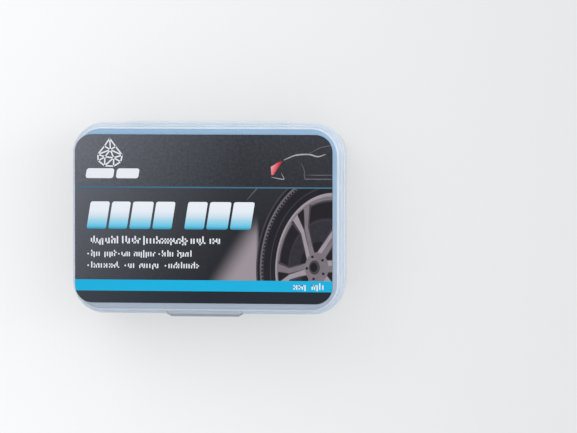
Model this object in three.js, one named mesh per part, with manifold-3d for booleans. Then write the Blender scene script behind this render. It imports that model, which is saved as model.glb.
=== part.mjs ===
// A flip-top box of car detailing clay, in millimetres, +Z up.
// The box stands on its tray. The lid is on top, its thumb latch faces the front (-Y), and the living
// hinge runs along the back (+Y). The origin is the centre of the box's footprint.

import * as THREE from 'three';
import { mergeVertices } from 'three/addons/utils/BufferGeometryUtils.js';
import Module from 'manifold-3d';

const wasm = await Module();
wasm.setup();

// Box
const BOX_LENGTH = 92;
const BOX_WIDTH = 64;
const BOX_HEIGHT = 30;
const FLANGE_CORNER = 10.8;
const FLANGE_REACH = 1.2;
const WALL = 1.1;
const FLOOR = 1.2;

// Tray
const TRAY_HEIGHT = 22.7;
const TRAY_FLANGE = 1.2;
const TRAY_DRAFT = 0.75;
const TRAY_FOOT_RADIUS = 2.5;
const TRAY_INNER_RADIUS = 1.5;

// Lid
const SEAM_GAP = 0.3;
const LID_FLANGE = 1.1;
const LID_DRAFT = 0.1;
const LID_EDGE_RADIUS = 0.3;
const LID_INNER_RADIUS = 0.8;

// Living hinge: a thin web that bows out behind the two flanges
const HINGE_LENGTH = 55;
const HINGE_BOW = 1;
const HINGE_WEB = 0.35;

// Thumb latch, set a little to the left of the middle
const LATCH_ROOT_WIDTH = 25.6;
const LATCH_TIP_WIDTH = 22.7;
const LATCH_REACH = 1;
const LATCH_LAND = 0.5;
const LATCH_LEG = 0.7;
const LATCH_DROP = 1.8;
const LATCH_EDGE_RADIUS = 0.3;
const LATCH_SHIFT = -1.15;

// Finger recess in the lid's front wall, above the latch
const RECESS_WIDTH = 22.7;
const RECESS_DEPTH = 1;
const RECESS_BELOW_TOP = 1.6;

// Label, set a little to the left on the lid
const LABEL_LENGTH = 86.9;
const LABEL_WIDTH = 56.4;
const LABEL_CORNER = 5.8;
const LABEL_THICKNESS = 0.2;
const LABEL_SHIFT = -0.85;

// Clay block and its film, pushed a little to the right in the tray
const CLAY_LENGTH = 73;
const CLAY_WIDTH = 54;
const CLAY_HEIGHT = 18.4;
const CLAY_CORNER = 8.5;
const CLAY_EDGE_RADIUS = 4;
const CLAY_CENTRE = new THREE.Vector2(1.9, -0.1);
const FILM_THICKNESS = 0.15;
const FILM_GAP = 0.3;
const FILM_MOUTH_INSET = 22;

const ROUND_STEPS = 4;
const SHARPEST_CORNER = 0.5;
const OVERSHOOT = 1;

const LABEL_BOTTOM = BOX_HEIGHT - LABEL_THICKNESS;
const LID_BOTTOM = TRAY_HEIGHT + SEAM_GAP;
const LID_FLANGE_TOP = LID_BOTTOM + LID_FLANGE;
const HINGE_HEIGHT = TRAY_HEIGHT + SEAM_GAP / 2;
const FLANGE_FRONT = -BOX_WIDTH / 2;
const FLANGE_BACK = BOX_WIDTH / 2;
const WALL_FRONT = FLANGE_FRONT + FLANGE_REACH;

const POLYPROPYLENE = { color: 0xd3deea, roughness: 0.38, metalness: 0, transparent: true, opacity: 0.5 };
const CLEAR_FILM = { color: 0xe6f0f8, roughness: 0.2, metalness: 0, transparent: true, opacity: 0.3 };
const PRINTED_FILM = { color: 0x3f3e46, roughness: 0.35, metalness: 0 };
const CLAY = { color: 0x2c6cae, roughness: 0.6, metalness: 0 };

function piece(name, geometry, look) {
  const mesh = new THREE.Mesh(geometry, new THREE.MeshStandardMaterial(look));
  mesh.name = name;
  return mesh;
}

// A rectangle with round corners, centred on the origin and running anticlockwise.
function roundedRectangle(length, width, corner) {
  const radius = Math.max(corner, SHARPEST_CORNER);
  const x = length / 2 - radius;
  const y = width / 2 - radius;
  const shape = new THREE.Shape();
  shape.absarc(x, -y, radius, -Math.PI / 2, 0);
  shape.absarc(x, y, radius, 0, Math.PI / 2);
  shape.absarc(-x, y, radius, Math.PI / 2, Math.PI);
  shape.absarc(-x, -y, radius, Math.PI, 1.5 * Math.PI);
  return shape;
}

// An arc in a wall's section, where a point is [distance in from the outline, height].
function sectionArc(inset, height, radius, startDegrees, endDegrees) {
  const start = THREE.MathUtils.degToRad(startDegrees);
  const end = THREE.MathUtils.degToRad(endDegrees);
  const arc = new THREE.EllipseCurve(inset, height, radius, radius, start, end, end < start);
  return arc.getPoints(ROUND_STEPS).map((point) => [point.x, point.y]);
}

// Carries a wall's section round a rounded rectangle. The section starts on a face that looks down and
// ends on a face that looks up, and a flat face closes the middle of each.
function wallRound(length, width, corner, section) {
  const rings = section.map(([inset, height]) => {
    const shape = roundedRectangle(length - 2 * inset, width - 2 * inset, corner - inset);
    return shape.getPoints(ROUND_STEPS).map((point) => new THREE.Vector3(point.x, point.y, height));
  });
  const count = rings[0].length;
  const bottom = new THREE.Vector3(0, 0, section[0][1]);
  const top = new THREE.Vector3(0, 0, section.at(-1)[1]);
  const corners = [];
  for (let i = 0; i < count; i += 1) {
    const j = (i + 1) % count;
    corners.push(bottom, rings[0][j], rings[0][i]);
    corners.push(top, rings.at(-1)[i], rings.at(-1)[j]);
    for (let k = 0; k + 1 < rings.length; k += 1) {
      const [low, high] = [rings[k], rings[k + 1]];
      corners.push(low[i], low[j], high[j], low[i], high[j], high[i]);
    }
  }
  return new THREE.BufferGeometry().setFromPoints(corners);
}

// Extrudes an outline drawn with [Y, Z] points along X, centred on the YZ plane.
function alongX(shape, length) {
  const geometry = new THREE.ExtrudeGeometry(shape, { depth: length, bevelEnabled: false, curveSegments: 8 });
  geometry.translate(0, 0, -length / 2);
  geometry.rotateY(Math.PI / 2);
  geometry.rotateX(Math.PI / 2);
  return geometry;
}

function solid(geometry) {
  const bare = geometry.clone();
  bare.deleteAttribute('normal');
  bare.deleteAttribute('uv');
  const merged = mergeVertices(bare, 1e-5);
  const vertProperties = new Float32Array(merged.attributes.position.array);
  const triVerts = new Uint32Array(merged.index.array);
  return new wasm.Manifold(new wasm.Mesh({ numProp: 3, vertProperties, triVerts }));
}

function geometryOf(manifold) {
  const mesh = manifold.getMesh();
  const geometry = new THREE.BufferGeometry();
  geometry.setAttribute('position', new THREE.BufferAttribute(mesh.vertProperties, 3));
  geometry.setIndex(new THREE.BufferAttribute(mesh.triVerts, 1));
  return geometry;
}

function tray() {
  const footInset = FLANGE_REACH + TRAY_DRAFT;
  const section = [
    ...sectionArc(footInset + TRAY_FOOT_RADIUS, TRAY_FOOT_RADIUS, TRAY_FOOT_RADIUS, 270, 180),
    [FLANGE_REACH, TRAY_HEIGHT - TRAY_FLANGE],
    [0, TRAY_HEIGHT - TRAY_FLANGE],
    [0, TRAY_HEIGHT],
    [FLANGE_REACH + WALL, TRAY_HEIGHT],
    ...sectionArc(footInset + WALL + TRAY_INNER_RADIUS, FLOOR + TRAY_INNER_RADIUS, TRAY_INNER_RADIUS, 180, 270),
  ];
  return piece('base_tray', wallRound(BOX_LENGTH, BOX_WIDTH, FLANGE_CORNER, section), POLYPROPYLENE);
}

// A block against the lid's front wall, from one Y to another, with its two inner corners round.
function frontBlock(width, front, back, corner, bottom, top) {
  const plan = new THREE.Shape();
  plan.moveTo(-width / 2, front);
  plan.lineTo(width / 2, front);
  plan.absarc(width / 2 - corner, back - corner, corner, 0, Math.PI / 2);
  plan.absarc(corner - width / 2, back - corner, corner, Math.PI / 2, Math.PI);
  plan.closePath();
  const options = { depth: top - bottom, bevelEnabled: false, curveSegments: ROUND_STEPS };
  const geometry = new THREE.ExtrudeGeometry(plan, options);
  geometry.translate(0, 0, bottom);
  return solid(geometry);
}

// The wall steps back round the recess, so it keeps its thickness.
function lid() {
  const topInset = FLANGE_REACH + LID_DRAFT;
  const ceiling = LABEL_BOTTOM - WALL;
  const section = [
    ...sectionArc(topInset + WALL + LID_INNER_RADIUS, ceiling - LID_INNER_RADIUS, LID_INNER_RADIUS, 90, 180),
    [FLANGE_REACH + WALL, LID_BOTTOM],
    [0, LID_BOTTOM],
    [0, LID_FLANGE_TOP],
    [FLANGE_REACH, LID_FLANGE_TOP],
    ...sectionArc(topInset + LID_EDGE_RADIUS, LABEL_BOTTOM - LID_EDGE_RADIUS, LID_EDGE_RADIUS, 180, 90),
  ];
  const shell = solid(wallRound(BOX_LENGTH, BOX_WIDTH, FLANGE_CORNER, section));
  const floor = WALL_FRONT + RECESS_DEPTH;
  const middle = WALL_FRONT + WALL / 2;
  const recessTop = LABEL_BOTTOM - RECESS_BELOW_TOP;
  const backing = frontBlock(
    RECESS_WIDTH + 2 * WALL, middle, floor + WALL, RECESS_DEPTH, LID_BOTTOM + SEAM_GAP, ceiling + WALL / 2,
  );
  const recess = frontBlock(
    RECESS_WIDTH, FLANGE_FRONT - OVERSHOOT, floor, RECESS_DEPTH, LID_FLANGE_TOP, recessTop,
  );
  const shift = [LATCH_SHIFT, 0, 0];
  const walls = shell.add(backing.translate(shift)).subtract(recess.translate(shift));
  return piece('lid_shell', geometryOf(walls), POLYPROPYLENE);
}

function livingHinge() {
  const inner = HINGE_BOW - HINGE_WEB;
  const section = new THREE.Shape();
  section.absarc(FLANGE_BACK, HINGE_HEIGHT, HINGE_BOW, -Math.PI / 2, Math.PI / 2);
  section.absarc(FLANGE_BACK, HINGE_HEIGHT, inner, Math.PI / 2, -Math.PI / 2, true);
  section.closePath();
  return piece('living_hinge', alongX(section, HINGE_LENGTH), POLYPROPYLENE);
}

// The latch lies on the lid's front flange, turns down over both flanges and clears the tray's flange.
function thumbLatch() {
  const tip = FLANGE_FRONT - LATCH_REACH;
  const landTop = LID_FLANGE_TOP + LATCH_LAND;
  const legBottom = TRAY_HEIGHT - LATCH_DROP;
  const legBack = tip + LATCH_LEG;
  const section = new THREE.Shape();
  section.moveTo(WALL_FRONT, LID_FLANGE_TOP);
  section.lineTo(WALL_FRONT, landTop);
  section.absarc(tip + LATCH_EDGE_RADIUS, landTop - LATCH_EDGE_RADIUS, LATCH_EDGE_RADIUS, Math.PI / 2, Math.PI);
  section.lineTo(tip, legBottom);
  section.lineTo(legBack, legBottom);
  section.lineTo(legBack, HINGE_HEIGHT);
  section.lineTo(FLANGE_FRONT, LID_BOTTOM);
  section.lineTo(FLANGE_FRONT, LID_FLANGE_TOP);
  section.closePath();

  const plan = new THREE.Shape();
  plan.moveTo(-LATCH_ROOT_WIDTH / 2, WALL_FRONT + OVERSHOOT);
  plan.lineTo(-LATCH_ROOT_WIDTH / 2, FLANGE_FRONT);
  plan.lineTo(-LATCH_TIP_WIDTH / 2, tip);
  plan.lineTo(-LATCH_TIP_WIDTH / 2, tip - OVERSHOOT);
  plan.lineTo(LATCH_TIP_WIDTH / 2, tip - OVERSHOOT);
  plan.lineTo(LATCH_TIP_WIDTH / 2, tip);
  plan.lineTo(LATCH_ROOT_WIDTH / 2, FLANGE_FRONT);
  plan.lineTo(LATCH_ROOT_WIDTH / 2, WALL_FRONT + OVERSHOOT);
  plan.closePath();

  const column = new THREE.ExtrudeGeometry(plan, { depth: BOX_HEIGHT, bevelEnabled: false });
  const tab = solid(alongX(section, LATCH_ROOT_WIDTH + OVERSHOOT)).intersect(solid(column));
  return piece('snap_latch', geometryOf(tab.translate([LATCH_SHIFT, 0, 0])), POLYPROPYLENE);
}

function label() {
  const shape = roundedRectangle(LABEL_LENGTH, LABEL_WIDTH, LABEL_CORNER);
  const options = { depth: LABEL_THICKNESS, bevelEnabled: false, curveSegments: 2 * ROUND_STEPS };
  const mesh = piece('lid_label', new THREE.ExtrudeGeometry(shape, options), PRINTED_FILM);
  mesh.position.set(LABEL_SHIFT, 0, LABEL_BOTTOM);
  return mesh;
}

// The section of a block with round edges, drawn out by `grow` all round the clay.
function clayEdges(grow) {
  const radius = CLAY_EDGE_RADIUS + grow;
  return {
    bottom: sectionArc(CLAY_EDGE_RADIUS, CLAY_EDGE_RADIUS, radius, 270, 180),
    top: sectionArc(CLAY_EDGE_RADIUS, CLAY_HEIGHT - CLAY_EDGE_RADIUS, radius, 180, 90),
  };
}

function clayBlock() {
  const { bottom, top } = clayEdges(0);
  const geometry = wallRound(CLAY_LENGTH, CLAY_WIDTH, CLAY_CORNER, [...bottom, ...top]);
  return piece('clay_bar', geometry, CLAY);
}

// A film pouch that follows the block at a small gap and is open along the middle of its top.
function film() {
  const inner = clayEdges(FILM_GAP);
  const outer = clayEdges(FILM_GAP + FILM_THICKNESS);
  const section = [
    ...outer.bottom,
    ...outer.top,
    [FILM_MOUTH_INSET, CLAY_HEIGHT + FILM_GAP + FILM_THICKNESS],
    [FILM_MOUTH_INSET, CLAY_HEIGHT + FILM_GAP],
    ...inner.top.reverse(),
    ...inner.bottom.reverse(),
  ];
  return piece('clay_wrap', wallRound(CLAY_LENGTH, CLAY_WIDTH, CLAY_CORNER, section), CLEAR_FILM);
}

const wrappedClay = new THREE.Group();
wrappedClay.position.set(CLAY_CENTRE.x, CLAY_CENTRE.y, FLOOR + 2 * FILM_GAP);
wrappedClay.add(clayBlock(), film());

const box = new THREE.Group();
box.name = 'clay_bar_box';
box.add(tray(), lid(), livingHinge(), thumbLatch(), label(), wrappedClay);

export default box;
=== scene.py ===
"""The looks of a flip-top box of car detailing clay: frosted box, printed label, clay in clear film.

Lengths are in millimetres until a mesh is made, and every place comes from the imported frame.
"""

import math
import random

import bmesh
import bpy
from mathutils import Matrix, Vector, noise


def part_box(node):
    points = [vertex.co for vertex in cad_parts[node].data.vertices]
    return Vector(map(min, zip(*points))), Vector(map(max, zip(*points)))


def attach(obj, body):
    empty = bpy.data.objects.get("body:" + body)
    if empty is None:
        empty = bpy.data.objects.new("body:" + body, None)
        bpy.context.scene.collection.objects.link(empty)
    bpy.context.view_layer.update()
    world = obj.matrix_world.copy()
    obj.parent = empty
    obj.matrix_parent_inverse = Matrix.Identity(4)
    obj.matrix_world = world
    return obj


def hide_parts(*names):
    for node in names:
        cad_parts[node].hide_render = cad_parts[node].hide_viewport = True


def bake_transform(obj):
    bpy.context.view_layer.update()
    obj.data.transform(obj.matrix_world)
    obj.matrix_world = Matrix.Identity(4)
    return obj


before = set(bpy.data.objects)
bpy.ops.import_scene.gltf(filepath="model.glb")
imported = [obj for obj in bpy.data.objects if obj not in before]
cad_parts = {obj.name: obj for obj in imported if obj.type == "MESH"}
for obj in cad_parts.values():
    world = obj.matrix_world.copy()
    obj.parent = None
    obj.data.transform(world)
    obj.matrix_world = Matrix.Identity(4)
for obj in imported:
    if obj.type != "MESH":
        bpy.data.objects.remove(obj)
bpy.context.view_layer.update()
MM = 0.001


def box_mm(piece):
    low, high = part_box(piece)
    return low / MM, high / MM


TRAY_LOW, TRAY_HIGH = box_mm("base_tray")
LID_LOW, LID_HIGH = box_mm("lid_shell")
HINGE_LOW, HINGE_HIGH = box_mm("living_hinge")
LATCH_LOW, LATCH_HIGH = box_mm("snap_latch")
LABEL_LOW, LABEL_HIGH = box_mm("lid_label")
CLAY_LOW, CLAY_HIGH = box_mm("clay_bar")

# The moulding, as designed. An inset is counted from the flange's outer edge.
FLANGE_CORNER = 10.8
FLANGE_REACH = 1.2
WALL = 1.1
TRAY_FLOOR = 1.2
TRAY_FLANGE = 1.2
TRAY_FOOT_INSET = 1.95
FOOT_WIDTH = 5
FOOT_RISE = 0.1
LID_FLANGE = 1.1
LID_TOP_INSET = 1.3
RECESS_WIDTH = 22.7
RECESS_DEPTH = 1.0
RECESS_BELOW_TOP = 1.4
RECESS_ROUND = 1.3
RECESS_LEDGE = 0.8
RECESS_SLOPE = 2.6
RECESS_INSETS = (FLANGE_REACH - 0.36, FLANGE_REACH + WALL + 1.2)
HINGE_BOW = 0.45
HINGE_WEB = 0.3
HINGE_SINK = 0.2
LATCH_LEG = 0.7
LATCH_LAND = 0.5
LATCH_CHAMFER = 0.6
LATCH_SHELF = 0.15
LATCH_SINK = 0.02
LATCH_CANT = 1.45
LATCH_ROUND = 0.22
LABEL_CORNER = 5.8
CLAY_CORNER = 8.5
CLAY_EDGE = 4.2
CLAY_CAP_INSET = 14
CLAY_VOXEL = 0.9
FILM_CAP_INSET = 22
FILM_EDGE = 3.5
FILM_HEM = 3.6
FILM_MOUTH = 25.6
FILM_FOLD = 0.75
FILM_SKIN = 0.05

# How finely the meshes are cut
LEAST_CORNER = 0.3
CORNER_STEPS = 20
FRONT_STEPS = 132
SIDE_STEPS = 16
FILM_STEPS = (112, 80)
LEAST_FILLET_STEPS = 5
FILLET_STEPS_PER_MM = 6
LABEL_CORNER_STEPS = 14
CURVE_STEPS = 10


# ---------------------------------------------------------------- meshes

def mesh_object(name, points, faces, smooth=True):
    mesh = bpy.data.meshes.new(name)
    mesh.from_pydata([Vector(point) * MM for point in points], [], faces)
    if smooth:
        mesh.shade_smooth()
    obj = bpy.data.objects.new(name, mesh)
    bpy.context.scene.collection.objects.link(obj)
    return obj


def finish_edges(obj, angle=40):
    """Flat faces stay flat in the shading beside the small rounds of a moulding."""
    obj.data.set_sharp_from_angle(angle=math.radians(angle))
    weighted = obj.modifiers.new("flat faces", "WEIGHTED_NORMAL")
    weighted.keep_sharp = True


def apply_modifiers(obj):
    bpy.context.view_layer.update()
    evaluated = obj.evaluated_get(bpy.context.evaluated_depsgraph_get())
    mesh = bpy.data.meshes.new_from_object(evaluated)
    obj.modifiers.clear()
    obj.data = mesh


def fillet(before, corner, after, radius):
    """The round that stands for a corner between two straight stretches of a section."""
    to_before = (before - corner).normalized()
    to_after = (after - corner).normalized()
    half = to_before.angle(to_after) / 2
    centre = corner + (to_before + to_after).normalized() * (radius / math.sin(half))
    start = corner + to_before * (radius / math.tan(half)) - centre
    end = corner + to_after * (radius / math.tan(half)) - centre
    turn = (math.atan2(end.y, end.x) - math.atan2(start.y, start.x) + math.pi) % math.tau - math.pi
    steps = max(LEAST_FILLET_STEPS, round(radius * FILLET_STEPS_PER_MM))
    return [centre + Matrix.Rotation(turn * i / steps, 2) @ start for i in range(steps + 1)]


def rounded_section(corners, longest=None):
    """Points of a section from (inset, height, radius) corners, cut where they rise over `longest`."""
    places = [Vector(corner[:2]) for corner in corners]
    section = [places[0]]
    for i in range(1, len(corners) - 1):
        section += fillet(places[i - 1], places[i], places[i + 1], corners[i][2])
    section.append(places[-1])
    if longest is None:
        return section
    cut = [section[0]]
    for point in section[1:]:
        rise = abs(point.y - cut[-1].y)
        pieces = math.ceil(rise / longest)
        start = cut[-1]
        cut += [start.lerp(point, k / pieces) for k in range(1, pieces)]
        cut.append(point)
    return cut


def ring(length, width, corner, height, steps):
    """A rounded rectangle, anticlockwise from the left end of its front side."""
    corner = max(corner, LEAST_CORNER)
    x = length / 2 - corner
    y = width / 2 - corner
    points = []
    sides = [
        (Vector((-x, -y - corner)), Vector((x, -y - corner)), steps[0], Vector((x, -y)), -90),
        (Vector((x + corner, -y)), Vector((x + corner, y)), steps[1], Vector((x, y)), 0),
        (Vector((x, y + corner)), Vector((-x, y + corner)), steps[0], Vector((-x, y)), 90),
        (Vector((-x - corner, y)), Vector((-x - corner, -y)), steps[1], Vector((-x, -y)), 180),
    ]
    for start, end, count, centre, first in sides:
        points += [start.lerp(end, k / count) for k in range(count)]
        for k in range(CORNER_STEPS):
            angle = math.radians(first + 90 * k / CORNER_STEPS)
            points.append(centre + corner * Vector((math.cos(angle), math.sin(angle))))
    return [Vector((point.x, point.y, height)) for point in points]


def loft_faces(count, loops):
    """Quads between loops of `count` points each, with a flat face on each end."""
    faces = [tuple(reversed(range(count)))]
    for k in range(loops - 1):
        for i in range(count):
            j = (i + 1) % count
            faces.append((k * count + i, k * count + j, (k + 1) * count + j, (k + 1) * count + i))
    faces.append(tuple(range((loops - 1) * count, loops * count)))
    return faces


def wall_round(name, length, width, corner, section, shape=None, steps=(FRONT_STEPS, SIDE_STEPS)):
    """Carries a wall's section round a rounded rectangle and closes its two ends with flat faces."""
    points = []
    for place in section:
        loop = ring(length - 2 * place.x, width - 2 * place.x, corner - place.x, place.y, steps)
        points += [shape(point, place.x) if shape else point for point in loop]
    return mesh_object(name, points, loft_faces(len(points) // len(section), len(section)))


def smoothstep(low, high, value):
    share = min(max((value - low) / (high - low), 0), 1)
    return share * share * (3 - 2 * share)


# ---------------------------------------------------------------- the moulding

BOX_LENGTH = TRAY_HIGH.x - TRAY_LOW.x
BOX_WIDTH = TRAY_HIGH.y - TRAY_LOW.y
LID_FLANGE_TOP = LID_LOW.z + LID_FLANGE


def make_tray():
    flange_bottom = TRAY_HIGH.z - TRAY_FLANGE
    section = rounded_section([
        (TRAY_FOOT_INSET + FOOT_WIDTH + 3, FOOT_RISE, 0),
        (TRAY_FOOT_INSET + FOOT_WIDTH + 0.4, FOOT_RISE, 0.3),
        (TRAY_FOOT_INSET + FOOT_WIDTH, 0, 0.3),
        (TRAY_FOOT_INSET, 0, 2.5),
        (FLANGE_REACH, flange_bottom, 0.35),
        (0, flange_bottom, 0.3),
        (0, TRAY_HIGH.z, 0.2),
        (FLANGE_REACH + WALL, TRAY_HIGH.z, 0.3),
        (TRAY_FOOT_INSET + WALL, TRAY_FLOOR, 1.5),
        (TRAY_FOOT_INSET + WALL + 4, TRAY_FLOOR, 0),
    ])
    tray = wall_round("tray", BOX_LENGTH, BOX_WIDTH, FLANGE_CORNER, section)
    finish_edges(tray)
    return tray


def recess_shape(point, inset):
    """Steps the lid's front wall back into the finger recess above the latch."""
    middle = (LATCH_LOW.x + LATCH_HIGH.x) / 2
    across = smoothstep(RECESS_WIDTH / 2, RECESS_WIDTH / 2 - RECESS_ROUND, abs(point.x - middle))
    top = LID_HIGH.z - RECESS_BELOW_TOP
    outer_face = inset < FLANGE_REACH + WALL / 2
    foot = LID_FLANGE_TOP - 0.01 if outer_face else LID_FLANGE_TOP + 0.4
    upwards = smoothstep(foot - RECESS_LEDGE, foot, point.z)
    upwards *= smoothstep(top, top - RECESS_SLOPE, point.z)
    in_wall = RECESS_INSETS[0] < inset < RECESS_INSETS[1]
    back = RECESS_DEPTH * across * upwards if point.y < 0 and in_wall else 0
    return point + Vector((0, back, 0))


def make_lid():
    ceiling = LID_HIGH.z - WALL
    section = rounded_section([
        (LID_TOP_INSET + WALL + 4, ceiling, 0),
        (LID_TOP_INSET + WALL, ceiling, 0.9),
        (FLANGE_REACH + WALL, LID_LOW.z, 0.3),
        (0, LID_LOW.z, 0.2),
        (0, LID_FLANGE_TOP, 0.3),
        (FLANGE_REACH, LID_FLANGE_TOP, 0.6),
        (LID_TOP_INSET, LID_HIGH.z, 0.9),
        (LID_TOP_INSET + 3, LID_HIGH.z, 0),
    ], longest=0.35)
    lid = wall_round("lid", BOX_LENGTH, BOX_WIDTH, FLANGE_CORNER, section, recess_shape)
    finish_edges(lid)
    return lid


def make_hinge():
    """A web that bows out a little behind the flanges, thinnest at half its height, where it bends."""
    centre_z = (HINGE_LOW.z + HINGE_HIGH.z) / 2
    rise = (HINGE_HIGH.z - HINGE_LOW.z) / 2
    half = (HINGE_HIGH.x - HINGE_LOW.x) / 2
    turns = [math.radians(-90 + 180 * k / 24) for k in range(25)]
    even = [-half + 2 * half * k / 44 for k in range(1, 44)]
    stations = [-half, -half + 0.1, -half + 0.25, *even, half - 0.25, half - 0.1, half]
    points = []
    for x in stations:
        # At its two ends the web is flatter and thinner
        from_end = smoothstep(half, half - 0.4, abs(x))
        bow = HINGE_BOW * (0.6 + 0.4 * from_end)
        web = HINGE_WEB * (0.7 + 0.3 * from_end)
        outer = [(HINGE_LOW.y + bow * math.cos(t), centre_z + rise * math.sin(t)) for t in turns]
        inner = []
        for t in turns:
            thick = web * (1 - 0.35 * math.exp(-((t / 0.5) ** 2)))
            y = HINGE_LOW.y + (bow - thick) * math.cos(t)
            inner.append((y, centre_z + (rise - thick) * math.sin(t)))
        root = HINGE_LOW.y - HINGE_SINK
        low_end = [(root, inner[0][1]), (root, outer[0][1])]
        high_end = [(root, outer[-1][1]), (root, inner[-1][1])]
        points += [Vector((x, y, z)) for y, z in low_end + outer + high_end + inner[::-1]]
    faces = loft_faces(len(points) // len(stations), len(stations))
    hinge = mesh_object("hinge_web", points, faces)
    finish_edges(hinge, 50)
    return hinge


def make_latch():
    """The thumb tab: a land on the lid's flange, turned down over both flanges, with canted ends."""
    front = TRAY_LOW.y
    tip = LATCH_LOW.y
    leg_back = tip + LATCH_LEG
    middle = (LATCH_LOW.x + LATCH_HIGH.x) / 2
    root_half = (LATCH_HIGH.x - LATCH_LOW.x) / 2
    tip_half = root_half - LATCH_CANT
    section = [
        (front + FLANGE_REACH, LID_FLANGE_TOP - LATCH_SINK),
        (front + FLANGE_REACH, LATCH_HIGH.z),
        (tip + LATCH_LAND, LATCH_HIGH.z),
        (tip, LATCH_HIGH.z - LATCH_CHAMFER),
        (tip, LATCH_LOW.z),
        (leg_back, LATCH_LOW.z),
        (leg_back, LID_LOW.z - LATCH_SHELF),
        (front - LATCH_SINK, LID_LOW.z),
        (front - LATCH_SINK, LID_FLANGE_TOP - LATCH_SINK),
    ]

    def half_width(y):
        share = min(max((y - tip) / (front - tip), 0), 1)
        return tip_half + (root_half - tip_half) * share

    points = [Vector((middle + side * half_width(y), y, z)) for side in (-1, 1) for y, z in section]
    count = len(section)
    faces = [tuple(reversed(range(count))), tuple(range(count, 2 * count))]
    for i in range(count):
        j = (i + 1) % count
        faces.append((i, j, count + j, count + i))
    latch = mesh_object("latch_tab", points, faces)
    bevel = latch.modifiers.new("small rounds", "BEVEL")
    bevel.width = LATCH_ROUND * MM
    bevel.segments = 4
    bevel.limit_method = "ANGLE"
    bevel.angle_limit = math.radians(20)
    finish_edges(latch, 60)
    return latch


# ---------------------------------------------------------------- clay and film

def make_clay():
    """A pressed block of clay, whose faces are lumpy and dented."""
    length, width, height = CLAY_HIGH - CLAY_LOW
    middle = (CLAY_LOW + CLAY_HIGH) / 2
    section = rounded_section([
        (CLAY_CAP_INSET, 0, 0),
        (0, 0, CLAY_EDGE),
        (0, height, CLAY_EDGE),
        (CLAY_CAP_INSET, height, 0),
    ], longest=1.2)
    clay = wall_round("clay_block", length, width, CLAY_CORNER, section)
    bm = bmesh.new()
    bm.from_mesh(clay.data)
    for cap in [face for face in bm.faces if len(face.verts) > 4]:
        bmesh.ops.poke(bm, faces=[cap])
    bm.to_mesh(clay.data)
    bm.free()
    clay.data.transform(Matrix.Translation(Vector((middle.x, middle.y, CLAY_LOW.z)) * MM))
    remesh = clay.modifiers.new("even skin", "REMESH")
    remesh.mode = "VOXEL"
    remesh.voxel_size = CLAY_VOXEL * MM
    apply_modifiers(clay)
    for vertex in clay.data.vertices:
        place = vertex.co / MM
        lump = noise.noise(place / 17) + 0.5 * noise.noise(place / 7 + Vector((9, 4, 2)))
        dent = max(noise.noise(place / 11 + Vector((3, 8, 1))), 0) ** 2
        depth = 0.42 + 0.38 * lump + 1.1 * dent + 0.08 * noise.noise(place / 2.2)
        vertex.co -= vertex.normal * max(depth, 0) * MM
    clay.data.shade_smooth()
    subdivide = clay.modifiers.new("smooth", "SUBSURF")
    subdivide.levels = 1
    subdivide.render_levels = 1
    return clay


def ridge(place, scale):
    """Sharp crests like the creases of crumpled film, from 0 to 1."""
    return max(1 - abs(noise.noise(place / scale)) * 3, 0)


def crumple(point, inset, middle, half):
    """Moves a point of the film out from the block, or down onto it, by its creases and pleats."""
    place = point + Vector((3, 5, 2))
    out = Vector((point.x / half.x, point.y / half.y, point.z / half.z))
    on_side = smoothstep(0.8, 0.5, abs(out.z))
    creases = 0.42 * ridge(place, 7.0) + 0.26 * ridge(place + Vector((5, 1, 7)), 3.1)
    pleats = 0
    if out.z > 0:
        along = Vector((point.x * 0.9, math.copysign(8, point.y), 0.04 * inset))
        to_mouth = smoothstep(8, FILM_MOUTH, inset)
        pleats = 0.5 * ridge(along, 2.4) * to_mouth
        wobble = 1.6 * noise.noise(Vector((point.x / 6, math.copysign(4, point.y), 1))) * to_mouth
        point = point + Vector((0, wobble, 0))
    push = Vector((out.x ** 3 * on_side, out.y ** 3 * on_side, math.copysign(1 - on_side, out.z)))
    return point + push * (creases + pleats - 0.36) + middle


def make_film():
    """A film pouch that follows the block, crumpled, with its mouth drawn to a slit on top."""
    middle = (CLAY_LOW + CLAY_HIGH) / 2
    half = (CLAY_HIGH - CLAY_LOW) / 2
    section = rounded_section([
        (FILM_CAP_INSET, -half.z, 0),
        (0, -half.z, FILM_EDGE),
        (0, half.z, FILM_EDGE),
        (FILM_HEM, half.z, 0),
    ], longest=0.7)
    steps = round((FILM_MOUTH - FILM_HEM) / FILM_FOLD)
    insets = [FILM_HEM + (FILM_MOUTH - FILM_HEM) * k / steps for k in range(1, steps + 1)]
    section += [Vector((inset, half.z)) for inset in insets]
    film = wall_round("film_pouch", 2 * half.x, 2 * half.y, CLAY_CORNER, section,
                      lambda point, inset: crumple(point, inset, middle, half), FILM_STEPS)
    bm = bmesh.new()
    bm.from_mesh(film.data)
    top = max(bm.faces, key=lambda face: (len(face.verts) > 4, face.calc_center_median().z))
    bmesh.ops.delete(bm, geom=[top], context="FACES_ONLY")
    bm.to_mesh(film.data)
    bm.free()
    skin = film.modifiers.new("film", "SOLIDIFY")
    skin.thickness = FILM_SKIN * MM
    skin.offset = 1
    return film


# ---------------------------------------------------------------- materials

def new_material(name):
    material = bpy.data.materials.new(name)
    material.use_nodes = True
    return material.node_tree, material.node_tree.nodes["Principled BSDF"], material


def node(tree, kind, inputs=None, **settings):
    """Adds a node. Its inputs are set by name or number, to a value or to another node's output."""
    made = tree.nodes.new(kind)
    for key, value in settings.items():
        setattr(made, key, value)
    for key, value in (inputs or {}).items():
        if isinstance(value, bpy.types.NodeSocket):
            tree.links.new(value, made.inputs[key])
        else:
            made.inputs[key].default_value = value
    return made


def maths(tree, operation, first, second=0.0, clamp=False):
    inputs = {0: first, 1: second}
    return node(tree, "ShaderNodeMath", inputs, operation=operation, use_clamp=clamp).outputs[0]


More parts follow.
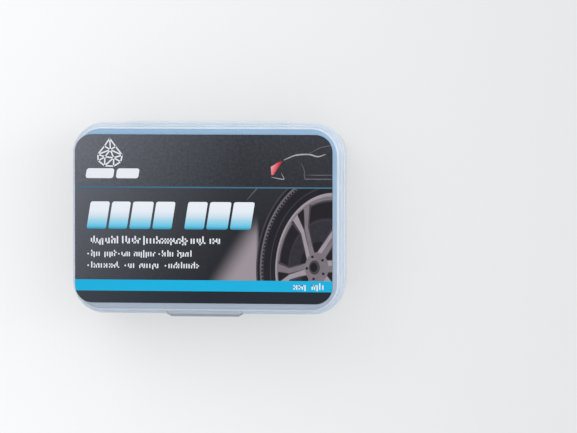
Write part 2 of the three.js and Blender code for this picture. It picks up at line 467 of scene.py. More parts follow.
def fade(tree, value, low, high):
    """0 below low, 1 above high, smooth between."""
    inputs = {"Value": value, "From Min": low, "From Max": high}
    return node(tree, "ShaderNodeMapRange", inputs, interpolation_type="SMOOTHSTEP").outputs[0]


def linear(red, green, blue):
    """A display colour from 0 to 255, as scene-linear."""
    def channel(value):
        value /= 255
        return value / 12.92 if value <= 0.04045 else ((value + 0.055) / 1.055) ** 2.4
    return (channel(red), channel(green), channel(blue), 1)


STUDIO_LIGHT = 1.52
STUDIO_GLOSS = 0.016


def printed(red, green, blue):
    """The ink that shows as this display colour under the studio's light."""
    colour = linear(red, green, blue)
    return (*[max(channel - STUDIO_GLOSS, 0.002) / STUDIO_LIGHT for channel in colour[:3]], 1)


def blend_colours(tree, share, first, second):
    inputs = {0: share, 6: first, 7: second}
    return node(tree, "ShaderNodeMix", inputs, data_type="RGBA").outputs[2]


def object_place(tree):
    """Object coordinates in millimetres, whole and split."""
    coordinates = node(tree, "ShaderNodeTexCoord").outputs["Object"]
    place = node(tree, "ShaderNodeVectorMath", {0: coordinates, 3: 1 / MM}, operation="SCALE").outputs[0]
    split = node(tree, "ShaderNodeSeparateXYZ", {0: place})
    return place, split.outputs


def noise_value(tree, place, scale, detail=3.0, roughness=0.5):
    inputs = {"Vector": place, "Scale": scale, "Detail": detail, "Roughness": roughness}
    return node(tree, "ShaderNodeTexNoise", inputs).outputs["Fac"]


def bump(tree, height, distance):
    inputs = {"Height": height, "Distance": distance * MM}
    return node(tree, "ShaderNodeBump", inputs).outputs["Normal"]


def set_inputs(shader, **values):
    for key, value in values.items():
        shader.inputs[key.replace("_", " ")].default_value = value


MILK_START = TRAY_HIGH.z - 2.2
MILK_FULL = TRAY_HIGH.z - 1.2
# Where the painted shade on the lid's top border starts and is full
TOP_START = LID_HIGH.z - 0.12
TOP_FULL = LID_HIGH.z - 0.02
# Where the painted shade on the tab starts and is full
TAB_START = TRAY_LOW.y - 0.02
TAB_FULL = TRAY_LOW.y - 0.16


def box_plastic():
    """Frosted translucent polypropylene with a satin skin.

    It is milkier and rougher from the tray's flange up. The lid's top border has painted shade:
    darker, greyer at the front and bluer towards the hinge. The tab in front of the flanges has
    painted shade, grey.
    """
    tree, shader, material = new_material("frosted_polypropylene")
    place, parts = object_place(tree)
    cloud = noise_value(tree, place, 0.06, 4.0, 0.6)
    colour = blend_colours(tree, cloud, linear(226, 242, 255), linear(234, 247, 255))
    milky = fade(tree, parts[2], MILK_START, MILK_FULL)
    colour = blend_colours(tree, milky, colour, linear(220, 231, 241))
    # Painted shade: the lid's top border is darkened, greyer at the front and bluer towards the hinge,
    # for the dark blue inside seen through it
    border = fade(tree, parts[2], TOP_START, TOP_FULL)
    to_back = fade(tree, parts[1], TRAY_LOW.y, TRAY_HIGH.y)
    lid_top_shade_colour = blend_colours(tree, to_back, linear(160, 172, 187), linear(137, 176, 208))
    colour = blend_colours(tree, border, colour, lid_top_shade_colour)
    # Painted shade: the tab's strip in front of the flanges is greyed, for its shaded underside
    tab = fade(tree, parts[1], TAB_START, TAB_FULL)
    colour = blend_colours(tree, tab, colour, linear(154, 159, 171))
    tree.links.new(colour, shader.inputs["Base Color"])
    skin = node(tree, "ShaderNodeMapRange", {"Value": cloud, "To Min": 0.17, "To Max": 0.22}).outputs[0]
    roughness = maths(tree, "ADD", skin, maths(tree, "MULTIPLY", milky, 0.3))
    tree.links.new(roughness, shader.inputs["Roughness"])
    flow = noise_value(tree, place, 0.12, 2.0, 0.4)
    tree.links.new(bump(tree, flow, 0.05), shader.inputs["Normal"])
    clear = node(tree, "ShaderNodeMapRange", {"Value": milky, "To Min": 0.96, "To Max": 0.57})
    tree.links.new(clear.outputs[0], shader.inputs["Transmission Weight"])
    set_inputs(shader, IOR=1.49, Coat_Weight=1.0, Coat_Roughness=0.08)
    return material


def clay_material():
    """Blue kneadable clay: matt, faintly waxy, with pale and dark flecks, streaks and press marks."""
    tree, shader, material = new_material("blue_clay")
    place, _ = object_place(tree)
    broad = noise_value(tree, place, 0.08, 4.0, 0.6)
    fine = noise_value(tree, place, 1.3, 6.0, 0.65)
    kneaded = node(tree, "ShaderNodeMapping", {"Vector": place, "Rotation": (0.2, 0.1, 0.5),
                                               "Scale": (0.05, 0.32, 0.3)}).outputs[0]
    streaks = noise_value(tree, kneaded, 1.0, 5.0, 0.6)
    flecks = node(tree, "ShaderNodeTexVoronoi", {"Vector": place, "Scale": 1.1}).outputs["Distance"]
    colour = blend_colours(tree, broad, linear(20, 142, 216), linear(40, 166, 230))
    colour = blend_colours(tree, fade(tree, streaks, 0.5, 0.72), colour, linear(66, 182, 236))
    colour = blend_colours(tree, fade(tree, fine, 0.6, 0.76), colour, linear(96, 196, 240))
    colour = blend_colours(tree, fade(tree, flecks, 0.2, 0.08), colour, linear(14, 106, 188))
    tree.links.new(colour, shader.inputs["Base Color"])
    roughness = node(tree, "ShaderNodeMapRange", {"Value": fine, "To Min": 0.42, "To Max": 0.68})
    tree.links.new(roughness.outputs[0], shader.inputs["Roughness"])
    height = maths(tree, "ADD", maths(tree, "MULTIPLY", broad, 3.0), maths(tree, "MULTIPLY", fine, 0.8))
    height = maths(tree, "ADD", height, streaks)
    tree.links.new(bump(tree, height, 0.35), shader.inputs["Normal"])
    set_inputs(shader, Subsurface_Weight=0.12, Subsurface_Scale=1.5 * MM, Sheen_Weight=0.08)
    return material


def film_material():
    """Thin clear film: clear where it lies flat on the clay, whitish along its broken fine creases,
    partly as crease whitening and partly as painted glints.
    """
    tree, shader, material = new_material("clear_film")
    place, _ = object_place(tree)
    wrinkle = noise_value(tree, place, 0.35, 5.0, 0.6)
    drift = node(tree, "ShaderNodeTexNoise", {"Vector": place, "Scale": 0.3, "Detail": 2.0})
    inputs = {0: drift.outputs["Color"], 3: 5.0}
    drift = node(tree, "ShaderNodeVectorMath", inputs, operation="SCALE").outputs[0]
    bent = node(tree, "ShaderNodeVectorMath", {0: place, 1: drift}, operation="ADD").outputs[0]
    creases = node(tree, "ShaderNodeTexVoronoi", {"Vector": bent, "Scale": 0.16},
                   feature="DISTANCE_TO_EDGE").outputs["Distance"]
    broken = fade(tree, wrinkle, 0.48, 0.6)
    # Whitish crease lines: partly crease whitening of the film, partly painted highlights for its glints
    lines = maths(tree, "MULTIPLY", fade(tree, creases, 0.03, 0.0), broken)
    haze = maths(tree, "MULTIPLY", fade(tree, wrinkle, 0.5, 0.8), 0.1)
    white = maths(tree, "ADD", maths(tree, "MULTIPLY", lines, 0.24), haze)
    alpha = maths(tree, "ADD", white, 0.03, clamp=True)
    tree.links.new(alpha, shader.inputs["Alpha"])
    height = maths(tree, "SUBTRACT", maths(tree, "MULTIPLY", wrinkle, 1.4), creases)
    tree.links.new(bump(tree, height, 0.8), shader.inputs["Normal"])
    set_inputs(shader, Base_Color=linear(240, 246, 252), Roughness=0.12, IOR=1.45)
    return material


# ---------------------------------------------------------------- label

LABEL_LENGTH = LABEL_HIGH.x - LABEL_LOW.x
LABEL_WIDTH = LABEL_HIGH.y - LABEL_LOW.y
LABEL_SHEET = 0.12
INK = 0.01
BAND_LOW, BAND_HIGH = 4.05, 7.75
RULE_LOW, RULE_HIGH = 38.5, 39.0
TITLE_LOW, TITLE_HIGH = 24.7, 33.9
BAND_LAYER = 5
TEXT_LAYER = 6
EMBLEM_LINE = 0.46
BULLET = 0.28


def label_outline(inset):
    length, width = LABEL_LENGTH - 2 * inset, LABEL_WIDTH - 2 * inset
    corner = LABEL_CORNER - inset
    points = []
    for x, y, first in ((1, -1, -90), (1, 1, 0), (-1, 1, 90), (-1, -1, 180)):
        centre = Vector((x * (length / 2 - corner), y * (width / 2 - corner)))
        for k in range(LABEL_CORNER_STEPS + 1):
            angle = math.radians(first + 90 * k / LABEL_CORNER_STEPS)
            points.append(centre + corner * Vector((math.cos(angle), math.sin(angle))))
    return [point + Vector((LABEL_LENGTH / 2, LABEL_WIDTH / 2)) for point in points]


def anticlockwise(points):
    area = sum(a.x * b.y - b.x * a.y for a, b in zip(points, points[1:] + points[:1]))
    return points if area > 0 else points[::-1]


def clipped(points, window):
    """The part of a polygon inside a convex, anticlockwise window."""
    kept = list(points)
    for i, start in enumerate(window):
        along = window[(i + 1) % len(window)] - start
        if along.length < 1e-6:
            continue
        sides = [along.x * (p.y - start.y) - along.y * (p.x - start.x) for p in kept]
        result = []
        for k, point in enumerate(kept):
            before, here = sides[k - 1], sides[k]
            if (before < 0) != (here < 0):
                result.append(kept[k - 1].lerp(point, before / (before - here)))
            if here >= 0:
                result.append(point)
        kept = result
        if len(kept) < 3:
            return []
    return kept


def rectangle(left, low, right, high):
    return [Vector(p) for p in ((left, low), (right, low), (right, high), (left, high))]


def rounded_bar(left, low, right, high, corner, slant=0.0):
    points = []
    for x, y, first in ((right - corner, low + corner, -90), (right - corner, high - corner, 0),
                        (left + corner, high - corner, 90), (left + corner, low + corner, 180)):
        for k in range(5):
            angle = math.radians(first + 90 * k / 4)
            points.append(Vector((x + corner * math.cos(angle), y + corner * math.sin(angle))))
    return [Vector((p.x + slant * (p.y - low), p.y)) for p in points]


class Print:
    """Inks on the label, in thin layers, of which a higher number lies over a lower one.

    Each shape is a polygon in millimetres from the label's lower left corner.
    """

    def __init__(self):
        self.points, self.faces, self.inks = [], [], []
        self.outline = label_outline(0.05)

    def fill(self, shape, ink, layer=0, window=None):
        shape = clipped(shape, self.outline)
        if window:
            shape = clipped(shape, window)
        clean = [p for i, p in enumerate(shape) if (p - shape[i - 1]).length > 1e-4]
        if len(clean) < 3:
            return
        first = len(self.points)
        height = LABEL_LOW.z + LABEL_SHEET + INK * (layer + 1)
        self.points += [Vector((LABEL_LOW.x + p.x, LABEL_LOW.y + p.y, height)) for p in clean]
        self.faces.append(tuple(range(first, len(self.points))))
        self.inks.append(ink)

    def strip(self, one_side, other_side, ink, layer=0, window=None):
        for k in range(len(one_side) - 1):
            quad = [one_side[k], one_side[k + 1], other_side[k + 1], other_side[k]]
            self.fill(anticlockwise(quad), ink, layer, window)

    def stroke(self, points, widths, ink, layer=0, window=None):
        """A line through the points, whose width runs evenly through the widths given."""
        curve = smooth_line(points)
        left, right = [], []
        for k, point in enumerate(curve):
            along = curve[min(k + 1, len(curve) - 1)] - curve[max(k - 1, 0)]
            side = Vector((-along.y, along.x)).normalized()
            share = k / (len(curve) - 1) * (len(widths) - 1)
            low = min(int(share), len(widths) - 2)
            width = widths[low] + (widths[low + 1] - widths[low]) * (share - low)
            left.append(point + side * width / 2)
            right.append(point - side * width / 2)
        self.strip(left, right, ink, layer, window)

    def build(self, name, materials):
        obj = mesh_object(name, self.points, self.faces, smooth=False)
        names = list(materials)
        for material in materials.values():
            obj.data.materials.append(material)
        for polygon, ink in zip(obj.data.polygons, self.inks):
            polygon.material_index = names.index(ink)
        skin = obj.modifiers.new("ink", "SOLIDIFY")
        skin.thickness = INK * 0.8 * MM
        skin.offset = -1
        return obj


def smooth_line(points):
    """Catmull-Rom through the points."""
    points = [Vector(point) for point in points]
    padded = [2 * points[0] - points[1], *points, 2 * points[-1] - points[-2]]
    line = []
    for a, b, c, d in zip(padded, padded[1:], padded[2:], padded[3:]):
        for k in range(CURVE_STEPS):
            t = k / CURVE_STEPS
            line.append(0.5 * ((2 * b) + (c - a) * t + (2 * a - 5 * b + 4 * c - d) * t ** 2
                               + (3 * b - a - 3 * c + d) * t ** 3))
    return [*line, points[-1]]


def print_blocks(art, places, low, high, ink, corner):
    """Blank slanted blocks in the places of a title's letters."""
    for left, right in places:
        art.fill(rounded_bar(left, low, right, high, corner, slant=0.16), ink, TEXT_LAYER)


def print_greeking(art, words, low, size, rng):
    """Words of a text nobody can read: upright ticks of uneven spacing and height."""
    stroke = 0.2 * size
    for left, right in words:
        x = left
        while x < right - stroke:
            tall = size * rng.choice((0.7, 0.7, 0.7, 0.74, 1.0))
            drop = size * rng.choice((0, 0, 0, 0, 0.2))
            art.fill(rounded_bar(x, low - drop, x + stroke, low + tall, 0.12), "white", TEXT_LAYER)
            if rng.random() < 0.45:
                across = low + size * rng.choice((0.0, 0.28, 0.5))
                dash = rounded_bar(x, across, x + 2.2 * stroke, across + 0.2 * size, 0.1)
                art.fill(dash, "white", TEXT_LAYER)
            x += stroke * rng.choice((1.75, 2.0, 2.0, 2.35))


def print_emblem(art):
    """A faceted drop of water, drawn as a wire frame."""
    centre = Vector((11.9, 50.2))
    corners = [(0, 4.3), (1.35, 1.9), (2.9, -0.7), (2.55, -2.7), (0.9, -4.0), (-1.2, -3.9),
               (-2.7, -2.4), (-2.8, -0.5), (-1.25, 2.0), (0.15, 0.9), (0.9, -1.5), (-1.15, -1.2)]
    corners = [centre + Vector((1.45 * x, 1.12 * y)) for x, y in corners]
    wires = [(0, 1), (1, 2), (2, 3), (3, 4), (4, 5), (5, 6), (6, 7), (7, 8), (8, 0), (0, 9), (1, 9),
             (8, 9), (2, 9), (7, 9), (9, 10), (9, 11), (10, 11), (2, 10), (3, 10), (4, 10), (5, 11),
             (6, 11), (7, 11), (5, 10)]
    for start, end in wires:
        art.stroke([corners[start], corners[end]], [EMBLEM_LINE] * 2, "white", TEXT_LAYER)
    dot = [EMBLEM_LINE / 2 * Vector((math.cos(k), math.sin(k))) for k in range(6)]
    for corner in corners:
        art.fill([corner + point for point in dot], "white", TEXT_LAYER)


def print_title(art, rng):
    """Blank blocks for the title, and rows of words nobody can read, two of them with bullets."""
    title = [(3.95, 10.5), (11.3, 17.6), (18.4, 25.4), (26.2, 32.7),
             (37.0, 43.6), (44.4, 51.6), (52.4, 59.4)]
    print_blocks(art, title, TITLE_LOW, TITLE_HIGH, "title", corner=0.7)
    print_blocks(art, [(3.6, 13.0), (13.9, 21.5)], 41.7, 45.0, "white", corner=0.8)
    heading = [(5.4, 15.2), (16.0, 22.6), (23.2, 38.7), (39.2, 44.8), (45.6, 50.0)]
    print_greeking(art, heading, 19.9, 2.5, rng)
    first_row = [(5.5, 9.2), (10.0, 13.8), (15.8, 19.4), (20.0, 27.2), (29.5, 34.0), (34.7, 40.0)]
    second_row = [(5.5, 15.2), (18.0, 20.8), (21.8, 28.9), (31.7, 41.8)]
    print_greeking(art, first_row, 15.6, 2.1, rng)
    print_greeking(art, second_row, 11.7, 2.1, rng)
    for x, y in ((4.5, 16.4), (14.9, 16.4), (28.6, 16.4), (4.5, 12.5), (17.1, 12.5), (30.7, 12.5)):
        bullet = rounded_bar(x - BULLET, y - BULLET, x + BULLET, y + BULLET, BULLET - 0.01)
        art.fill(bullet, "white", TEXT_LAYER)
    print_greeking(art, [(73.8, 78.0), (79.9, 84.2)], 4.85, 2.2, rng)


def print_bands(art):
    art.fill(rectangle(-1, BAND_LOW, LABEL_LENGTH + 1, BAND_HIGH), "cyan", BAND_LAYER)
    art.fill(rectangle(-1, RULE_LOW, LABEL_LENGTH + 1, RULE_HIGH), "rule", BAND_LAYER)


HUB = Vector((80.2, 12.4))
RIM_CENTRE = Vector((87.5, 11.4))
RIM_ACROSS, RIM_UP = 19.8, 25.8
SPOKES = 6

# One spoke's shadow, its lit and its dark flank, and its slot: (radius, degrees) points, ink, layer
SPOKE_PATCHES = [
    ([(0.1, -50), (0.1, 50), (0.34, 15), (0.62, 8.5), (0.93, 13), (0.93, -13), (0.62, -8.5),
      (0.34, -15)], "shade", 3),
    ([(0.12, 42), (0.34, 11.5), (0.62, 6.4), (0.93, 10.4), (0.93, 4.4), (0.62, 0.8), (0.12, 0)],
     "bright", 4),
    ([(0.12, -42), (0.12, 0), (0.62, -0.8), (0.93, -4.6), (0.93, -10.8), (0.62, -6.6),
      (0.34, -12.0)], "alloy", 4),
    ([(0.66, 0.2), (0.93, 3.8), (0.93, -4.0), (0.66, -0.5)], "well", 5),
]


def on_wheel(radius, degrees):
    """A point of the drawn wheel: 0 is the hub, 1 the rim's edge, more is tyre and arch."""
    angle = math.radians(degrees)
    edge = Vector((RIM_ACROSS * math.cos(angle), RIM_UP * math.sin(angle)))
    if radius >= 1:
        return RIM_CENTRE + edge * radius
    return HUB.lerp(RIM_CENTRE + edge, radius)


def print_wheel(art):
    """A wheel of broad tapered spokes seen at a slant, cut by the label's right edge."""
    window = rectangle(0, BAND_HIGH, LABEL_LENGTH, RULE_LOW)
    whole = (0, 360)

    def ring_of(inner, outer, ink, layer, first=60, last=230, steps=70):
        angles = [first + (last - first) * k / steps for k in range(steps + 1)]
        one = [on_wheel(inner, a) for a in angles]
        other = [on_wheel(outer, a) for a in angles]
        art.strip(one, other, ink, layer, window)

    def patch(places, ink, layer):
        art.fill(anticlockwise([on_wheel(r, a) for r, a in places]), ink, layer, window)

    ring_of(1.0, 1.325, "tyre", 0)
    ring_of(0.0, 1.0, "well", 0, *whole, 110)
    ring_of(1.302, 1.325, "shade", 1, 100, 215)
    ring_of(1.235, 1.262, "edge", 1, 92, 215)
    ring_of(1.195, 1.205, "tread", 1, 92, 215)
    for k in range(46):
        turn = 96 + 2.3 * k
        patch([(1.212, turn), (1.232, turn + 0.3), (1.232, turn + 1.3), (1.212, turn + 1.0)], "edge", 1)
    ring_of(1.075, 1.09, "tread", 1, 80, 215)
    ring_of(0.955, 1.0, "bright", 1, 70, 225)
    ring_of(0.905, 0.955, "alloy", 1, 70, 225)
    ring_of(0.88, 0.905, "shade", 1, *whole, 110)
    ring_of(0.34, 0.66, "disc", 1, *whole, 80)
    ring_of(0.62, 0.64, "tread", 2, *whole, 80)
    for k in range(24):
        turn = 15 * k
        patch([(0.44, turn), (0.46, turn + 1.6), (0.56, turn + 4.2), (0.54, turn + 2.6)], "tread", 2)
    for k in range(SPOKES):
        turn = 126 + 360 * k / SPOKES
        for outline, ink, layer in SPOKE_PATCHES:
            patch([(radius, turn + degrees) for radius, degrees in outline], ink, layer)
    ring_of(0.0, 0.2, "alloy", 5, *whole, 40)
    ring_of(0.0, 0.092, "shade", 6, *whole, 30)
    ring_of(0.0, 0.06, "well", 7, *whole, 30)
    angles = [math.tau * i / 12 for i in range(12)]
    hole = [0.45 * Vector((math.cos(angle), math.sin(angle))) for angle in angles]
    for k in range(5):
        spot = on_wheel(0.15, 40 + 72 * k)
        art.fill([spot + point for point in hole], "well", 6, window)


def print_car(art):
    """The rear of a car, drawn with a few lines above the rule and one below it."""
    window = rectangle(0, RULE_HIGH, LABEL_LENGTH, LABEL_WIDTH)
    lamp = [(66.2, 45.7), (68.2, 47.0), (70.4, 47.8), (69.4, 46.4), (68.3, 44.9), (67.1, 43.0),
            (66.4, 43.0)]
    boot_lid = [(70.6, 48.0), (74.5, 49.6), (79.0, 49.9), (82.0, 49.2), (84.6, 50.0)]
    window_line = [(79.0, 50.2), (83.0, 52.2), (88.0, 53.2)]
    lamp_foot = [(66.4, 42.3), (69.0, 41.8), (70.6, 41.7), (69.8, 43.6)]
    panel = [(76.4, 47.0), (77.4, 44.6), (77.6, 42.0), (79.0, 41.7), (88.0, 41.7)]
    crease = [(77.8, 43.1), (82.0, 43.0), (88.0, 43.1)]
    wing = [(58.2, 34.6), (60.2, 37.0), (62.4, 39.4)]
    art.fill(anticlockwise([Vector(p) for p in lamp]), "red", 3, window)
    art.stroke(boot_lid, [0.25, 0.5, 0.45, 0.2], "line", 2, window)
    art.stroke(window_line, [0.1, 0.28, 0.3], "edge", 2, window)
    art.stroke(lamp_foot, [0.1, 0.3, 0.3, 0.1], "line", 2, window)
    art.stroke(panel, [0.1, 0.3, 0.35, 0.35], "edge", 2, window)
    art.stroke(crease, [0.1, 0.25, 0.25], "edge", 2, window)
    lower = rectangle(0, BAND_HIGH, LABEL_LENGTH, RULE_LOW)
    art.stroke(wing, [0.15, 0.3, 0.35], "edge", 1, lower)


def flat_ink(name, colour, other, roughness=0.34, scale=0.12):
    """Ink with the slight unevenness of print."""
    tree, shader, material = new_material(name)
    place, _ = object_place(tree)
    share = noise_value(tree, place, scale, 4.0, 0.6)
    tree.links.new(blend_colours(tree, share, colour, other), shader.inputs["Base Color"])
    grain = noise_value(tree, place, 3.0, 2.0)
    limits = {"Value": grain, "To Min": roughness - 0.05, "To Max": roughness + 0.07}
    tree.links.new(node(tree, "ShaderNodeMapRange", limits).outputs[0], shader.inputs["Roughness"])
    set_inputs(shader, Specular_IOR_Level=0.15)
    return material


def along_label(tree, parts, start, end):
    """0 at one place on the label and 1 at another, evenly between them."""
    start, end = Vector(start), Vector(end)
    way = end - start
    shares = []
    for k, low in ((0, LABEL_LOW.x), (1, LABEL_LOW.y)):
        past_start = maths(tree, "SUBTRACT", parts[k], low + start[k])
        shares.append(maths(tree, "MULTIPLY", past_start, way[k] / way.length_squared))
    return maths(tree, "ADD", *shares, clamp=True)


def colour_ramp(tree, share, stops):
    ramp = node(tree, "ShaderNodeValToRGB", {0: share})
    elements = ramp.color_ramp.elements
    while len(elements) < len(stops):
        elements.new(0.5)
    for element, (position, colour) in zip(elements, stops):
        element.position = position
        element.color = colour
    return ramp.outputs[0]


def ramp_ink(name, stops, start, end):
    """Ink that runs through the given colours from one place on the label to another."""
    tree, shader, material = new_material(name)
    place, parts = object_place(tree)
    colour = colour_ramp(tree, along_label(tree, parts, start, end), stops)
    grain = noise_value(tree, place, 2.0, 3.0)
    colour = blend_colours(tree, maths(tree, "MULTIPLY", grain, 0.06), colour, (0.2, 0.25, 0.3, 1))
    tree.links.new(colour, shader.inputs["Base Color"])
    rough = node(tree, "ShaderNodeMapRange", {"Value": grain, "To Min": 0.28, "To Max": 0.4})
    tree.links.new(rough.outputs[0], shader.inputs["Roughness"])
    set_inputs(shader, Specular_IOR_Level=0.15)
    return material


def label_material():
    """The ground: charcoal, paler to the upper left by print and painted sheen, with a warm glow by the
    wheel and fine speckles.
    """
    tree, shader, material = new_material("label_ground")
    place, parts = object_place(tree)
    x = maths(tree, "SUBTRACT", parts[0], LABEL_LOW.x)
    y = maths(tree, "SUBTRACT", parts[1], LABEL_LOW.y)
    # Paler to the upper left: partly a printed gradient, partly painted sheen for a softbox's reflection
    sheen_and_print_to_left = along_label(tree, parts, (57, 0), (0, 0))
    tone = maths(tree, "ADD", maths(tree, "MULTIPLY", sheen_and_print_to_left, 0.68), maths(tree, "MULTIPLY", y, 0.0085))
    speckle = noise_value(tree, place, 0.9, 5.0, 0.75)
    above_rule = fade(tree, y, RULE_LOW, RULE_HIGH)
    strength = node(tree, "ShaderNodeMapRange", {"Value": above_rule, "To Min": 0.25, "To Max": 0.6})
    mottle = maths(tree, "MULTIPLY", maths(tree, "SUBTRACT", speckle, 0.5), strength.outputs[0])
    tone = maths(tree, "ADD", maths(tree, "SUBTRACT", tone, 0.17), mottle, clamp=True)
    ground = colour_ramp(tree, tone, [(0.0, printed(42, 44, 48)), (0.25, printed(58, 60, 65)),
                                      (0.5, printed(76, 78, 84)), (0.75, printed(93, 96, 103)),
                                      (1.0, printed(111, 114, 121))])
    foot = maths(tree, "MULTIPLY", fade(tree, y, 4.0, 3.6), 0.5)
    ground = blend_colours(tree, foot, ground, printed(48, 54, 64))
    glow = along_label(tree, parts, (47.2, 12.8), (54.4, 8.2))
    glow = fade(tree, glow, 0.0, 1.0)
    glow = maths(tree, "MULTIPLY", glow, fade(tree, y, 31.0, 22.0))
    glow = maths(tree, "MULTIPLY", glow, fade(tree, x, 62.5, 61.0))
    glow = maths(tree, "MULTIPLY", glow, fade(tree, y, BAND_LOW, BAND_HIGH))
    ground = blend_colours(tree, glow, ground, printed(156, 146, 152))
    tree.links.new(ground, shader.inputs["Base Color"])
    grain = noise_value(tree, place, 2.5, 3.0)
    rough = node(tree, "ShaderNodeMapRange", {"Value": grain, "To Min": 0.3, "To Max": 0.42})
    tree.links.new(rough.outputs[0], shader.inputs["Roughness"])
    wave = noise_value(tree, place, 0.05, 2.0)
    tree.links.new(bump(tree, wave, 0.5), shader.inputs["Normal"])
    set_inputs(shader, Specular_IOR_Level=0.15)
    return material


def make_label():
    """A die-cut film with softly rounded edges."""
    points = []
    loops = [(0.0, 0.0), (0.0, LABEL_SHEET - 0.04), (0.015, LABEL_SHEET - 0.01), (0.05, LABEL_SHEET)]
    for inset, height in loops:
        points += [Vector((LABEL_LOW.x + p.x, LABEL_LOW.y + p.y, LABEL_LOW.z + height))
                   for p in label_outline(inset)]
    label = mesh_object("label_sheet", points, loft_faces(len(points) // len(loops), len(loops)))
    finish_edges(label, 50)
    label.data.materials.append(label_material())
    stock = flat_ink("label_stock", linear(234, 235, 238), linear(222, 224, 228), 0.5)
    label.data.materials.append(stock)
    underside = label.data.polygons[0]
    underside.material_index = 1
    return label


def make_print():
    rng = random.Random(7)
    art = Print()
    print_wheel(art)
    print_car(art)
    print_bands(art)
    print_emblem(art)
    print_title(art, rng)
    title = [(0.0, printed(52, 140, 166)), (0.1, printed(96, 192, 224)),
             (0.22, printed(134, 206, 232)), (0.34, printed(168, 213, 228)),
             (0.46, printed(206, 224, 236)), (0.66, printed(232, 237, 243)),
             (1.0, printed(236, 240, 245))]
    lamp = [(0.0, printed(232, 170, 172)), (0.4, printed(226, 112, 118)), (0.75, printed(190, 44, 52)),
            (1.0, printed(120, 24, 32))]
    inks = {
        "white": flat_ink("ink_white", printed(238, 240, 243), printed(224, 229, 234)),
        "title": ramp_ink("ink_title", title, (0, TITLE_LOW), (0, TITLE_HIGH)),
        "cyan": flat_ink("ink_cyan", printed(0, 171, 214), printed(0, 180, 224)),
        "rule": flat_ink("ink_rule", printed(62, 106, 128), printed(80, 120, 140)),
        "red": ramp_ink("ink_red", lamp, (66.2, 45.6), (69.2, 44.4)),
        "line": flat_ink("ink_line", printed(196, 194, 198), printed(140, 138, 142), scale=0.4),
        "edge": flat_ink("ink_edge", printed(126, 120, 126), printed(84, 80, 88), scale=0.3),
        "tread": flat_ink("ink_tread", printed(74, 72, 78), printed(56, 54, 60)),
        "tyre": flat_ink("ink_tyre", printed(48, 47, 53), printed(36, 35, 41)),
        "well": flat_ink("ink_well", printed(34, 33, 38), printed(48, 45, 51)),
        "disc": flat_ink("ink_disc", printed(66, 63, 70), printed(46, 44, 50), scale=0.6),
        "bright": flat_ink("ink_bright", printed(172, 162, 168), printed(142, 133, 139), scale=0.25),
        "alloy": flat_ink("ink_alloy", printed(138, 128, 134), printed(108, 100, 106), scale=0.25),
        "shade": flat_ink("ink_shade", printed(86, 80, 86), printed(62, 58, 64), scale=0.3),
    }
    return art.build("label_print", inks)


# ---------------------------------------------------------------- pieces on their bodies

def place_pieces():
    plastic = box_plastic()
    tray, lid, hinge, latch = make_tray(), make_lid(), make_hinge(), make_latch()
    for piece in (tray, lid, hinge, latch):
        piece.data.materials.append(plastic)
    clay, film = make_clay(), make_film()
    clay.data.materials.append(clay_material())
    film.data.materials.append(film_material())
    label, art = make_label(), make_print()
    for piece in (tray, clay, film):
        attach(piece, "base")
    for piece in (lid, latch, label, art):
        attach(piece, "lid")
    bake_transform(hinge)
    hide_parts("base_tray")
    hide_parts("lid_shell")
    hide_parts("living_hinge")
    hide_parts("snap_latch")
    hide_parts("lid_label")
    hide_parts("clay_bar")
    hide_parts("clay_wrap")


# ---------------------------------------------------------------- studio

VIEW_DISTANCE = 1500.0
VIEW_YAW, VIEW_PITCH = 8.5, 2.8
LENS = 279.2
AIM_RIGHT, AIM_UP = 26.7, 0.5
SEAM_HEIGHT = (TRAY_HIGH.z + LID_LOW.z) / 2
LIGHT_TARGET = Vector((0, 0, 0.02))
DOME_DIM = (0.98, 0.99, 1.03, 1)
DOME_BRIGHT = (1.6, 1.62, 1.65, 1)
BRIGHT_SIDE = (0.62, 0.78, 0.0)
FLOOR_LEFT, FLOOR_RIGHT = -110.0, 150.0
FLOOR_PALE = (0.34, 0.34, 0.34, 1)
# Painted shade: the floor darkens towards this colour on the right, for the light's fall-off
FLOOR_PAINTED_SHADE = (0.225, 0.225, 0.225, 1)
FLOOR_GLOW = 0.44


def make_floor():
    """A wide white floor, lit evenly from within, with painted shade making it a little darker to the
    right.
    """
    bm = bmesh.new()
    bmesh.ops.create_grid(bm, x_segments=2, y_segments=2, size=4.0)
    mesh = bpy.data.meshes.new("floor")
    bm.to_mesh(mesh)
    bm.free()
    floor = bpy.data.objects.new("floor", mesh)
    bpy.context.scene.collection.objects.link(floor)
    tree, shader, material = new_material("pale_floor")
    _, parts = object_place(tree)
    # Painted shade: darker to the right, for the light's fall-off
    painted_falloff_to_right = fade(tree, parts[0], FLOOR_LEFT, FLOOR_RIGHT)
    colour = blend_colours(tree, painted_falloff_to_right, FLOOR_PALE, FLOOR_PAINTED_SHADE)
    tree.links.new(colour, shader.inputs["Base Color"])
    set_inputs(shader, Roughness=0.7, Specular_IOR_Level=0.2)
    set_inputs(shader, Emission_Color=(1, 1, 1, 1), Emission_Strength=FLOOR_GLOW)
    floor.data.materials.append(material)


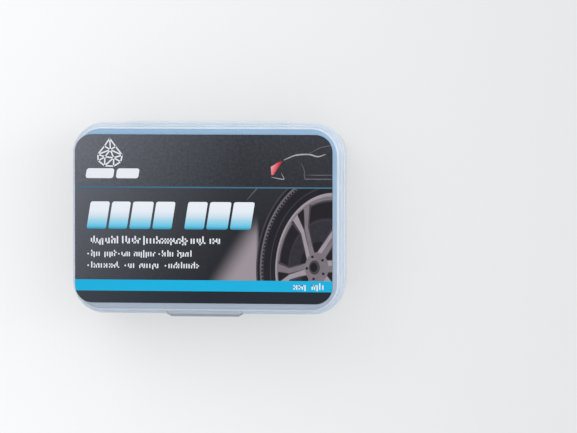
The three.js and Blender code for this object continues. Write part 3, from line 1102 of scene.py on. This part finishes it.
def area_light(name, place, size, power):
    light = bpy.data.lights.new(name, "AREA")
    light.shape = "RECTANGLE"
    light.size, light.size_y = size
    light.energy = power
    lamp = bpy.data.objects.new(name, light)
    lamp.location = place
    lamp.rotation_euler = (LIGHT_TARGET - Vector(place)).to_track_quat("-Z", "Y").to_euler()
    bpy.context.scene.collection.objects.link(lamp)


def make_studio():
    scene = bpy.context.scene
    world = bpy.data.worlds.new("studio")
    world.use_nodes = True
    tree = world.node_tree
    way = node(tree, "ShaderNodeTexCoord").outputs["Generated"]
    facing = node(tree, "ShaderNodeVectorMath", {0: way, 1: BRIGHT_SIDE}, operation="DOT_PRODUCT")
    to_bright = fade(tree, facing.outputs["Value"], -0.9, 0.9)
    dome = blend_colours(tree, to_bright, DOME_DIM, DOME_BRIGHT)
    tree.links.new(dome, tree.nodes["Background"].inputs["Color"])
    scene.world = world
    area_light("key", (-1.2, 1.9, 2.2), (2.0, 1.6), 18.0)
    area_light("side", (2.1, 0.4, 1.5), (0.9, 2.8), 20.0)
    scene.view_settings.view_transform = "Standard"
    scene.cycles.sample_clamp_indirect = 2.0
    scene.cycles.max_bounces = 20
    scene.cycles.transmission_bounces = 20
    scene.cycles.transparent_max_bounces = 24
    make_floor()


def make_camera():
    """Almost straight down on the lid, from a little towards the hinge and the right end."""
    centre = Vector((0, 0, SEAM_HEIGHT)) * MM
    across, along = math.radians(VIEW_YAW), math.radians(VIEW_PITCH)
    towards = Vector((math.tan(across), math.tan(along), 1)).normalized()
    place = centre + towards * VIEW_DISTANCE * MM
    right = Vector((0, 1, 0)).cross(towards).normalized()
    aside = right * AIM_RIGHT + towards.cross(right) * AIM_UP
    forward = (centre + aside * MM - place).normalized()
    right = forward.cross(Vector((0, 1, 0))).normalized()
    up = right.cross(forward)
    turn = Matrix((right, up, -forward)).transposed()
    data = bpy.data.cameras.new("camera")
    data.lens = LENS
    data.clip_end = 20
    camera = bpy.data.objects.new("camera", data)
    camera.matrix_world = Matrix.Translation(place) @ turn.to_4x4()
    bpy.context.scene.collection.objects.link(camera)
    bpy.context.scene.camera = camera


make_camera()
make_studio()
place_pieces()
